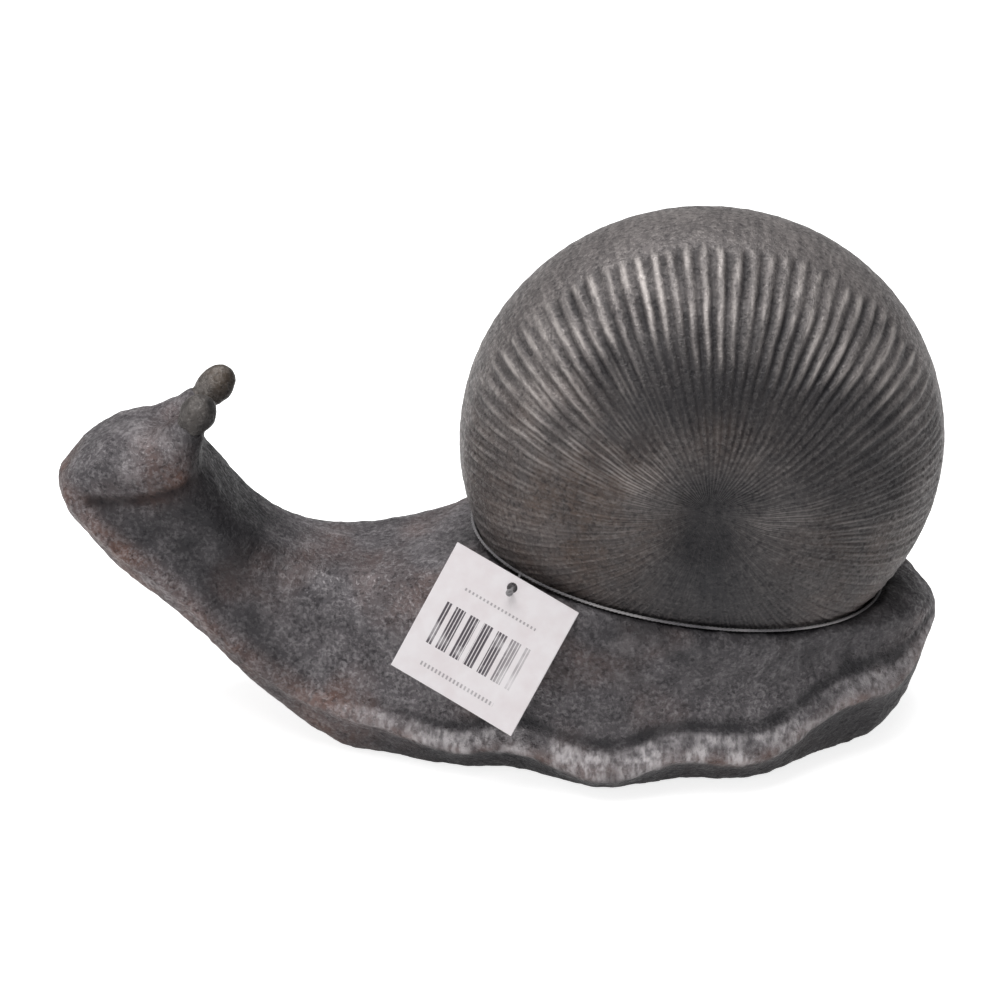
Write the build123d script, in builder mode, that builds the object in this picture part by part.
"""Snail figurine: a ribbed globe shell seated in a cast body, with a swing tag on a thread.

Millimetres, +Z up. The head points to -X, and the near side, where the tag hangs, is -Y.
The origin is on the rest face, straight under the shell's axis, which runs along Y.
"""

from build123d import *
import math
import os

os.makedirs("parts", exist_ok=True)

# Shell: a globe of revolution about an axis along Y, with a dimpled hub on each side
shell_radius = 69.0
shell_half_width = 49.5
shell_axis_height = 90.5
shell_squareness = 2.1
hub_radius = 6.0
hub_dimple_depth = 7.0
hub_dimple_radius = 26.0
shell_wall = 4.0
rib_count = 90
rib_depth = 0.75
rib_hub_depth = 1.4
crown_band_half_width = 9.0
globe_sides = 44

# Seam: the tilted plane on which the body's collar ends, with a groove for the thread
seam_height = 54.5
seam_slope = 0.164
seat_clearance = 0.3
thread_groove_width = 2.4

# Shell seat: a flat land in the body's dish, with a spigot in the shell's core hole
seat_height = 28.0
core_hole_radius = 11.0
spigot_clearance = 0.3
spigot_height = 5.0
boss_radius = 5.5
boss_height = 8.0
boss_spacing = 38.0

# Screws and washers that hold the shell down
screw_radius = 2.5
screw_length = 25.0
screw_head_radius = 4.6
screw_head_height = 3.2
screw_slot_width = 1.2
screw_slot_depth = 1.6
screw_hole_clearance = 0.3
tap_clearance = 0.05
tap_end_clearance = 0.7
washer_radius = 5.8
washer_thickness = 1.2
counterbore_radius = 6.5
counterbore_depth = 12.5

# Body: foot, neck and head
body_length = 254.5
head_reach = 184.0
body_half_width = 54.0
back_height = 66.0
skirt_bead_radius = 7.2
skirt_wave_height = 1.2
skirt_wave_width = 1.2
skirt_wave_length = 45.0
skirt_wave_start = -28.0
skirt_far_phase_share = 0.25
skirt_fade_start_share = 0.3
skirt_fade_share = 0.15

# Felt under the foot
felt_thickness = 1.5
felt_inset = 3.0

# Tentacles, set in pockets on the head, each leaning back and a little outward
tentacle_ball_radius = 5.0
tentacle_neck_radius = 3.2
tentacle_base_radius = 6.6
tentacle_edge = 0.8
tentacle_length = 14.6
tentacle_peg_radius = 2.0
tentacle_peg_length = 7.0
tentacle_clearance = 0.1
tentacle_x = -149.5
tentacle_y = 7.0
tentacle_z = 92.0
tentacle_lean_back = 9.4
tentacle_lean_twist = 1.8
tentacle_lean_out = 1.6
tentacle_sides = 12

# Thread round the shell, its knotted end, and the tag that swings on it
thread_radius = 0.45
thread_clearance = 0.3
thread_slack = 0.2
thread_sides = 5
thread_corners = 48
knot_radius = 1.1
knot_sides = 8
knot_stand_off = 3.0
tie_turn = 212.0
tie_forward = 2.4
tie_out = 8.7
tie_rise = 0.5
tag_size = 39.8
tag_thickness = 0.5
tag_hole_radius = 1.5
tag_hole_inset = 3.4
tag_lean = 28.0
tag_yaw = 15.0
tag_roll = 22.0

# Stations of the body from the head's tip to the tail's lip. Each row holds shares:
# place along body_length, half width of the lip (of body_half_width), lift of the lip's
# bead (of back_height), radius of the bead (of skirt_bead_radius), underside and top (of
# back_height), half width of the shoulder (of body_half_width) and its height (of
# back_height).
body_station_shares = (
    (0.000, 0.080, 1.200, 0.12, 1.160, 1.240, 0.060, 1.225),
    (0.010, 0.220, 1.175, 0.30, 1.090, 1.275, 0.170, 1.235),
    (0.030, 0.310, 1.120, 0.45, 1.000, 1.360, 0.240, 1.290),
    (0.070, 0.380, 0.980, 0.50, 0.830, 1.450, 0.300, 1.350),
    (0.110, 0.410, 0.860, 0.50, 0.700, 1.470, 0.310, 1.350),
    (0.145, 0.430, 0.745, 0.50, 0.580, 1.400, 0.310, 1.270),
    (0.175, 0.450, 0.620, 0.50, 0.460, 1.250, 0.310, 1.120),
    (0.206, 0.475, 0.490, 0.50, 0.330, 1.080, 0.330, 0.950),
    (0.246, 0.530, 0.380, 0.55, 0.200, 0.940, 0.370, 0.800),
    (0.294, 0.585, 0.295, 0.58, 0.060, 0.870, 0.410, 0.720),
    (0.342, 0.645, 0.245, 0.65, -0.030, 0.855, 0.460, 0.690),
    (0.390, 0.700, 0.212, 0.68, -0.040, 0.870, 0.515, 0.695),
    (0.440, 0.745, 0.192, 0.72, -0.040, 0.915, 0.560, 0.735),
    (0.500, 0.830, 0.198, 0.85, -0.040, 0.970, 0.660, 0.835),
    (0.560, 0.935, 0.184, 0.95, -0.040, 0.965, 0.770, 0.865),
    (0.620, 0.985, 0.180, 1.00, -0.040, 0.940, 0.850, 0.850),
    (0.690, 0.985, 0.212, 1.00, -0.040, 0.890, 0.870, 0.820),
    (0.750, 0.950, 0.222, 1.00, -0.040, 0.850, 0.840, 0.790),
    (0.810, 0.870, 0.250, 1.00, -0.040, 0.810, 0.750, 0.755),
    (0.860, 0.765, 0.315, 1.00, -0.040, 0.780, 0.640, 0.725),
    (0.905, 0.655, 0.360, 1.00, -0.030, 0.750, 0.530, 0.700),
    (0.940, 0.550, 0.390, 0.90, 0.060, 0.720, 0.440, 0.670),
    (0.970, 0.390, 0.455, 0.75, 0.200, 0.680, 0.310, 0.630),
    (0.990, 0.210, 0.525, 0.40, 0.400, 0.620, 0.170, 0.590),
    (1.000, 0.100, 0.540, 0.12, 0.500, 0.580, 0.080, 0.567),
)

# Points of a half section from beside the sole's middle to beside the ridge. Each row
# holds, for the way out, shares of the lip's reach, of its bead's radius and of the
# shoulder's half width, and for the height, shares of the underside, of the lip's lift, of
# its bead's radius, of the shoulder's height and of the top.
half_point_shares = (
    (0.45, -0.45, 0.00, 1.00, 0.00, 0.00, 0.00, 0.00),
    (1.00, -1.75, 0.00, 0.88, 0.12, 0.00, 0.00, 0.00),
    (1.00, -0.75, 0.00, 0.00, 1.00, -0.85, 0.00, 0.00),
    (1.00, 0.00, 0.00, 0.00, 1.00, 0.00, 0.00, 0.00),
    (1.00, -0.55, 0.00, 0.00, 1.00, 0.90, 0.00, 0.00),
    (0.50, -0.55, 0.50, 0.00, 0.50, 0.45, 0.50, 0.00),
    (0.00, 0.00, 1.00, 0.00, 0.00, 0.00, 1.00, 0.00),
    (0.00, 0.00, 0.65, 0.00, 0.00, 0.00, 0.20, 0.80),
    (0.00, 0.00, 0.25, 0.00, 0.00, 0.00, 0.02, 0.98),
)

# Places along body_length of the body's sections
section_place_shares = (
    0.0, 0.01, 0.03, 0.07, 0.11, 0.145, 0.175, 0.206, 0.246, 0.294, 0.342, 0.39, 0.44, 0.48,
    0.52, 0.56, 0.595, 0.63, 0.665, 0.7, 0.735, 0.77, 0.805, 0.84, 0.872, 0.905, 0.94, 0.97,
    0.99, 1.0,
)

# Pace of each half section's spline at its points, as shares of its whole run, and the
# shares of its run where the facets meet
section_pace_shares = (0.0, 0.13, 0.26, 0.34, 0.41, 0.48, 0.58, 0.70, 0.82, 0.93, 1.0)
section_facet_shares = (
    0.0, 0.13, 0.26, 0.32, 0.37, 0.41, 0.45, 0.49, 0.55, 0.63, 0.72, 0.81, 0.9, 1.0
)

# Places along body_length where the felt's edge follows the foot's width
felt_edge_shares = (0.345, 0.36, 0.42, 0.48, 0.54, 0.6, 0.66, 0.72, 0.78, 0.84, 0.88, 0.905)

# Rings of the ribbed surface, as shares of shell_radius, from the hub to the last full rib
rib_ring_shares = (0.2, 0.4, 0.62, 0.82, 0.94)

# Rings of a tentacle's stalk, as shares of its length and of the way from its neck's to
# its base's radius, and the heights of its ball's rings, as shares of a half turn
stalk_shares = ((0.12, 0.62), (0.3, 0.25), (0.5, 0.06))
ball_turn_shares = (0.35, 0.5, 0.65, 0.8, 0.93)

# Rings of the knot, as shares of its radius: how wide and how high
knot_shares = ((0.3, -0.95), (0.8, -0.6), (1.0, 0.0), (0.8, 0.6), (0.3, 0.95))

# Steps of halving that find a point on the shell's surface, and how far out of flat four
# corners of a facet may lie, as a share of its diagonal
search_steps = 40
flat_share = 1e-9


def skin(rings, closed=False):
    """Solid through rings of equally many points, with a flat facet wherever four lie flat."""
    faces = []
    if closed:
        pairs = list(zip(rings, rings[1:] + rings[:1]))
    else:
        pairs = list(zip(rings, rings[1:]))
        faces = [Face(Wire.make_polygon(ring)) for ring in (rings[0], rings[-1])]
    for ring, following in pairs:
        for number in range(len(ring)):
            a = Vector(ring[number - 1])
            b = Vector(ring[number])
            c = Vector(following[number])
            d = Vector(following[number - 1])
            across = (b - a).cross(d - a)
            if abs(across.normalized().dot(c - a)) < flat_share * (c - a).length:
                faces.append(Face(Wire.make_polygon([a, b, c, d])))
            else:
                faces.append(Face(Wire.make_polygon([a, b, c])))
                faces.append(Face(Wire.make_polygon([a, c, d])))
    return Solid(Shell(faces))


def polygon_ring(plane, radius, sides, height=0.0):
    """Corners of a regular polygon about a plane's origin, raised along its axis."""
    turns = [2 * math.pi * number / sides for number in range(sides)]
    return [
        plane.from_local_coords((radius * math.cos(turn), radius * math.sin(turn), height))
        for turn in turns
    ]


def meridian_half_width(radius, grow=0.0):
    """Half width of the smooth globe at a distance from its axis."""
    outer = shell_radius + grow
    share = min(radius / outer, 1.0)
    wide = (1.0 - share**shell_squareness) ** (1.0 / shell_squareness)
    return (shell_half_width + grow) * wide


def dimple(radius):
    """How far the hub's dimple sinks the surface at a distance from the axis."""
    if radius >= hub_dimple_radius:
        return 0.0
    return hub_dimple_depth * math.cos(math.pi / 2 * radius / hub_dimple_radius) ** 2


def between(rows, place):
    """Smooth values between hand-chosen rows, whose first column is the place."""
    last = len(rows) - 1
    index = 0
    while index < last - 1 and rows[index + 1][0] <= place:
        index += 1
    before = rows[max(index - 1, 0)]
    start = rows[index]
    end = rows[index + 1]
    after = rows[min(index + 2, last)]
    span = end[0] - start[0]
    t = (place - start[0]) / span
    values = []
    for column in range(1, len(start)):
        slope_start = (end[column] - before[column]) / (end[0] - before[0]) * span
        slope_end = (after[column] - start[column]) / (after[0] - start[0]) * span
        values.append(
            (2 * t**3 - 3 * t**2 + 1) * start[column]
            + (t**3 - 2 * t**2 + t) * slope_start
            + (3 * t**2 - 2 * t**3) * end[column]
            + (t**3 - t**2) * slope_end
        )
    return values


def skirt_wave(x, side):
    """Wave of the skirt at x, faded out along the neck. The two sides are out of step."""
    phase = 2 * math.pi * (x - skirt_wave_start) / skirt_wave_length
    if side > 0:
        phase += 2 * math.pi * skirt_far_phase_share
    grown = (x + head_reach) / body_length - skirt_fade_start_share
    return min(max(grown / skirt_fade_share, 0.0), 1.0) * math.cos(phase)


def body_section(share):
    """Near and far halves of the body's outline at a share of its length.

    Each half is a list of (y, z) points from the middle of the sole to the ridge of the back.
    """
    x = share * body_length - head_reach
    wide, lift, bead, under, top, shoulder, shoulder_lift = between(
        body_station_shares, share
    )
    wide *= body_half_width
    lift *= back_height
    bead *= skirt_bead_radius
    under *= back_height
    top *= back_height
    shoulder *= body_half_width
    shoulder_lift *= back_height
    halves = []
    for side in (-1, 1):
        wave = skirt_wave(x, side)
        reach = wide + skirt_wave_width * wave
        rise = lift - skirt_wave_height * wave
        half = [(0, under)]
        for row in half_point_shares:
            out = (reach, bead, shoulder)
            up = (under, rise, bead, shoulder_lift, top)
            half.append(
                (
                    side * sum(share * size for share, size in zip(row, out)),
                    sum(share * size for share, size in zip(row[len(out) :], up)),
                )
            )
        halves.append(half + [(0, top)])
    return halves


def felt_edge(share, side):
    """Point of the felt's edge, set in from where the foot's section leaves the sole."""
    section = body_section(share)[0 if side < 0 else 1]
    low_y, low_z = section[2]
    high_y, high_z = section[3]
    sole_y = low_y + (felt_thickness - low_z) / (high_z - low_z) * (high_y - low_y)
    return share * body_length - head_reach, sole_y - side * felt_inset


band_radius = shell_radius * (
    1 - (crown_band_half_width / shell_half_width) ** shell_squareness
) ** (1 / shell_squareness)
ring_radii = [share * shell_radius for share in rib_ring_shares]


def globe(grow):
    """Smooth globe of the shell's size, grown or shrunk all over, whose flats touch it."""
    scale = (shell_radius + grow) / shell_radius
    quarter = [
        (radius * scale, meridian_half_width(radius * scale, grow))
        for radius in ring_radii + [band_radius]
    ]
    outline = [(radius, -half_width) for radius, half_width in quarter]
    outline += [(shell_radius + grow, 0)] + quarter[::-1]
    axle = Plane(origin=(0, 0, shell_axis_height), x_dir=(1, 0, 0), z_dir=(0, 1, 0))
    corner_share = 1 / math.cos(math.pi / globe_sides)
    return skin(
        [
            polygon_ring(axle, radius * corner_share, globe_sides, half_width)
            for radius, half_width in outline
        ]
    )


def rib_ring(radius, side, fade=1.0):
    """Closed star of ridges and valleys at one distance from the shell's axis.

    The star keeps its shape and grows with the radius, so the grooves' sides stay flat.
    """
    half_width = meridian_half_width(radius) - dimple(radius)
    growth = radius / shell_radius
    points = []
    for number in range(2 * rib_count):
        turn = math.pi * number / rib_count
        sunk = fade * growth * (number % 2)
        reach = radius - rib_depth * sunk
        points.append(
            Vector(
                reach * math.cos(turn),
                side * (half_width - rib_hub_depth * sunk),
                shell_axis_height + reach * math.sin(turn),
            )
        )
    return points


seam_lean = math.atan(seam_slope)
seam_plane = Plane(
    origin=(0, 0, seam_height),
    x_dir=(math.cos(seam_lean), 0, -math.sin(seam_lean)),
    z_dir=(math.sin(seam_lean), 0, math.cos(seam_lean)),
)


def loop_point(turn, out, rise):
    """Point round the shell at a turn in degrees, out from its surface and above the seam."""
    centre = -(shell_axis_height - seam_height) * math.sin(seam_lean)
    low = 0.0
    high = shell_radius
    for _ in range(search_steps):
        reach = (low + high) / 2
        point = seam_plane.from_local_coords(
            (
                centre + reach * math.cos(math.radians(turn)),
                reach * math.sin(math.radians(turn)),
                rise,
            )
        )
        radius = math.hypot(point.X, point.Z - shell_axis_height)
        if abs(point.Y) < meridian_half_width(radius, out):
            low = reach
        else:
            high = reach
    return point


washer_top = felt_thickness + counterbore_depth
screw_seat = washer_top - washer_thickness
tap_hole_depth = screw_seat + screw_length + tap_end_clearance - seat_height

with BuildPart() as dish:
    add(globe(seat_clearance))
    split(bisect_by=Plane.XY.offset(seat_height), keep=Keep.TOP)

with BuildPart() as thread_groove:
    add(globe(thread_groove_width))
    split(bisect_by=seam_plane, keep=Keep.TOP)

tentacle_planes = []
for side in (-1, 1):
    lean_back = tentacle_lean_back + side * tentacle_lean_twist
    lean_out = side * tentacle_lean_out
    tentacle_planes.append(
        Plane(
            origin=(tentacle_x, side * tentacle_y, tentacle_z),
            x_dir=(0, 1, 0),
            z_dir=(
                lean_back,
                lean_out,
                math.sqrt(tentacle_length**2 - lean_back**2 - lean_out**2),
            ),
        )
    )


def body_ring(place):
    """Corners of the body's section at a share of its length, on a spline through its points."""
    corners = []
    for half in body_section(place):
        line = Edge.make_spline(half, parameters=section_pace_shares)
        corners.append([line @ share for share in section_facet_shares])
    near, far = corners
    x = place * body_length - head_reach
    return [Vector(x, point.X, point.Y) for point in near + far[-2:0:-1]]


with BuildPart() as body:
    add(skin([body_ring(place) for place in section_place_shares]))
    split(bisect_by=Plane.XY.offset(felt_thickness), keep=Keep.TOP)
    add(dish.part, mode=Mode.SUBTRACT)
    add(thread_groove.part, mode=Mode.SUBTRACT)
    with Locations((0, 0, seat_height)):
        Cylinder(
            core_hole_radius - spigot_clearance,
            spigot_height,
            align=(Align.CENTER, Align.CENTER, Align.MIN),
        )
    underside = Plane(origin=(0, 0, felt_thickness), x_dir=(1, 0, 0), z_dir=(0, 0, -1))
    with Locations(underside.location):
        with GridLocations(boss_spacing, 0, 2, 1):
            CounterBoreHole(
                screw_radius + screw_hole_clearance, counterbore_radius, counterbore_depth
            )
    for plane in tentacle_planes:
        with Locations(plane.location):
            Cylinder(
                tentacle_base_radius + tentacle_clearance,
                tentacle_length,
                align=(Align.CENTER, Align.CENTER, Align.MIN),
                mode=Mode.SUBTRACT,
            )
            Hole(
                tentacle_peg_radius + tentacle_clearance,
                tentacle_peg_length + tentacle_clearance,
            )

with BuildPart() as felt:
    with BuildSketch():
        with BuildLine():
            Polyline(
                *[felt_edge(share, -1) for share in felt_edge_shares],
                *[felt_edge(share, 1) for share in felt_edge_shares[::-1]],
                close=True,
            )
        make_face()
    extrude(amount=felt_thickness)

near_rings = [rib_ring(hub_radius, -1, fade=0)] + [rib_ring(radius, -1) for radius in ring_radii]
far_rings = [rib_ring(hub_radius, 1, fade=0)] + [rib_ring(radius, 1) for radius in ring_radii]
crown_rings = [
    rib_ring(band_radius, -1, fade=0),
    rib_ring(shell_radius, 1, fade=0),
    rib_ring(band_radius, 1, fade=0),
]

with BuildPart() as shell_cut:
    add(globe(-shell_wall))
    with Locations((0, 0, seat_height + shell_wall)):
        Box(
            2 * shell_radius,
            2 * (shell_half_width - hub_dimple_depth - shell_wall),
            2 * shell_radius,
            align=(Align.CENTER, Align.CENTER, Align.MIN),
            mode=Mode.INTERSECT,
        )
        with GridLocations(boss_spacing, 0, 2, 1):
            Cylinder(
                boss_radius,
                boss_height,
                align=(Align.CENTER, Align.CENTER, Align.MIN),
                mode=Mode.SUBTRACT,
            )
    with Locations((0, 0, seat_height)):
        Cylinder(
            core_hole_radius,
            shell_wall,
            align=(Align.CENTER, Align.CENTER, Align.MIN),
        )
        with GridLocations(boss_spacing, 0, 2, 1):
            Cylinder(
                screw_radius + tap_clearance,
                tap_hole_depth,
                align=(Align.CENTER, Align.CENTER, Align.MIN),
            )
        Box(
            2 * shell_radius,
            2 * shell_half_width,
            shell_radius,
            align=(Align.CENTER, Align.CENTER, Align.MAX),
        )

with BuildPart() as shell:
    add(skin(near_rings + crown_rings + far_rings[::-1]))
    add(shell_cut.part, mode=Mode.SUBTRACT)


def make_screw(x):
    """Slotted pan-head screw from below, with its head under the washer."""
    with BuildPart() as screw:
        with Locations((x, 0, screw_seat)):
            Cylinder(
                screw_radius,
                screw_length,
                align=(Align.CENTER, Align.CENTER, Align.MIN),
            )
            Cylinder(
                screw_head_radius,
                screw_head_height,
                align=(Align.CENTER, Align.CENTER, Align.MAX),
            )
        rim = screw.edges().filter_by(GeomType.CIRCLE).sort_by(Axis.Z)[0]
        chamfer(rim, screw_head_height / 3)
        with Locations((x, 0, screw_seat - screw_head_height)):
            Box(
                2 * screw_head_radius,
                screw_slot_width,
                2 * screw_slot_depth,
                mode=Mode.SUBTRACT,
            )
    return screw.part


def make_washer(x):
    """Plain washer in the counterbore."""
    with BuildPart() as washer:
        with BuildSketch(Plane.XY.offset(screw_seat)):
            with Locations((x, 0)):
                Circle(washer_radius)
                Circle(screw_radius + screw_hole_clearance, mode=Mode.SUBTRACT)
        extrude(amount=washer_thickness)
    return washer.part


def make_tentacle(plane):
    """Stalk that flares into the head, with a ball at its tip and a peg in the head."""
    flare = tentacle_base_radius - tentacle_neck_radius
    outline = [
        (tentacle_peg_radius, -tentacle_peg_length),
        (tentacle_peg_radius, 0),
        (tentacle_base_radius, 0),
        (tentacle_base_radius, tentacle_edge),
    ]
    for height, width in stalk_shares:
        outline.append((tentacle_neck_radius + width * flare, height * tentacle_length))
    for share in ball_turn_shares:
        turn = math.pi * share
        outline.append(
            (
                tentacle_ball_radius * math.sin(turn),
                tentacle_length - tentacle_ball_radius * math.cos(turn),
            )
        )
    return skin(
        [polygon_ring(plane, radius, tentacle_sides, height) for radius, height in outline]
    )


tie_start = loop_point(
    tie_turn, thread_radius + thread_clearance, thread_radius + thread_clearance
)
tie = Vector(-tie_forward, -tie_out, tie_rise)
tag_normal = (
    Vector(0, -1, 0)
    .rotate(Axis.X, -tag_lean)
    .rotate(Axis.Z, -tag_yaw)
)
tag_across = Vector(1, 0, 0).rotate(Axis.Z, -tag_yaw)
tag_plane = Plane(
    origin=tie_start + tie,
    x_dir=tag_across.rotate(Axis((0, 0, 0), tag_normal), -tag_roll),
    z_dir=tag_normal,
)

route_points = [
    loop_point(
        360 * corner / thread_corners,
        thread_radius + thread_clearance + thread_slack,
        thread_radius + thread_clearance,
    )
    for corner in range(thread_corners)
]
thread_rings = []
thread_length = 0.0
for corner in range(thread_corners):
    before = route_points[corner - 1]
    after = route_points[(corner + 1) % thread_corners]
    thread_length += (route_points[corner] - before).length
    across = Plane(
        origin=route_points[corner], x_dir=seam_plane.z_dir, z_dir=after - before
    )
    thread_rings.append(polygon_ring(across, thread_radius, thread_sides))

knot_plane = Plane(origin=tie_start + tie + tie.normalized() * knot_stand_off, z_dir=tie)

with BuildPart() as thread:
    add(skin(thread_rings, closed=True))
    with BuildSketch(Plane(origin=tie_start, z_dir=tie)):
        RegularPolygon(thread_radius, thread_sides)
    extrude(amount=tie.length + knot_stand_off)
    add(
        skin(
            [
                polygon_ring(knot_plane, wide * knot_radius, knot_sides, high * knot_radius)
                for wide, high in knot_shares
            ]
        )
    )
print("thread length", round(thread_length, 1))

with BuildPart() as tag:
    with BuildSketch(tag_plane.offset(-tag_thickness / 2)):
        with Locations((0, tag_hole_inset - tag_size / 2)):
            Rectangle(tag_size, tag_size)
        Circle(tag_hole_radius, mode=Mode.SUBTRACT)
    extrude(amount=tag_thickness)

body.part.label = "body_casting"
export_step(body.part, "parts/body_casting.step")

shell.part.label = "shell_casting"
export_step(shell.part, "parts/shell_casting.step")

for name, plane in zip(("tentacle_near", "tentacle_far"), tentacle_planes):
    tentacle = make_tentacle(plane)
    tentacle.label = name
    export_step(tentacle, f"parts/{name}.step")

for place, x in (("front", -boss_spacing / 2), ("rear", boss_spacing / 2)):
    screw = make_screw(x)
    screw.label = f"shell_screw_{place}"
    export_step(screw, f"parts/shell_screw_{place}.step")
    washer = make_washer(x)
    washer.label = f"washer_{place}"
    export_step(washer, f"parts/washer_{place}.step")

felt.part.label = "felt_base"
export_step(felt.part, "parts/felt_base.step")

thread.part.label = "tag_thread"
export_step(thread.part, "parts/tag_thread.step")

tag.part.label = "tag_card"
export_step(tag.part, "parts/tag_card.step")

for piece in (body.part, shell.part, felt.part, thread.part, tag.part):
    print(piece.label, round(piece.volume, 1), piece.is_valid)
print("tag hole", tag_plane.origin, "swing axis", -tag_plane.x_dir)
